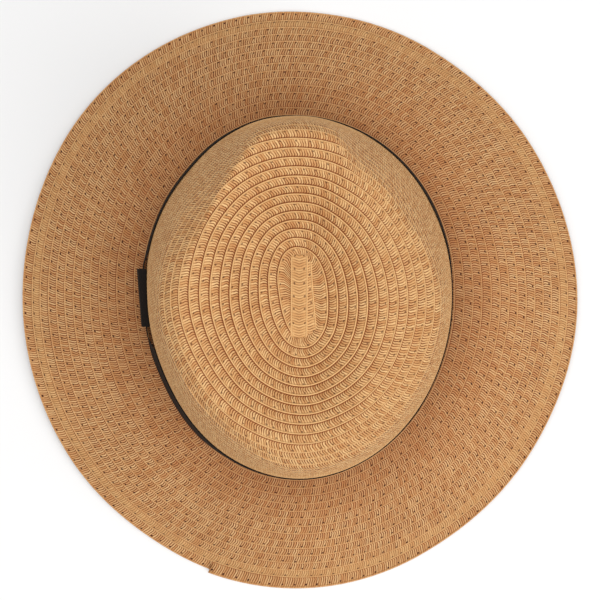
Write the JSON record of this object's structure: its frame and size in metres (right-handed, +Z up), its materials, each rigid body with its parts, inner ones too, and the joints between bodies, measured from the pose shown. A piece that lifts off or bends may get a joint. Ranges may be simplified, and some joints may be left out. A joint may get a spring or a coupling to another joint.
{
  "type": "sewn straw braid hat",
  "caption": "Hat of sewn straw braid with a pinched teardrop crown, a wide brim that slopes down and a dark ribbon band with a flat keeper.",
  "frame": {"origin": "on the table under the middle of the hat, at the middle of its outline", "axes": "+Z up through the crown, +Y to the front of the hat, +X to the wearer's right"},
  "size_m": [0.3176, 0.3326, 0.1503],
  "materials": {
    "crown_straw": "sewn straw braid",
    "brim_straw": "sewn straw braid",
    "band_ribbon": "ribbed ribbon",
    "keeper_ribbon": "ribbed ribbon"
  },
  "bodies": {
    "root": {"crown": "crown_straw", "brim": "brim_straw", "hat_band": "band_ribbon", "band_keeper": "keeper_ribbon"}
  },
  "joints": []
}
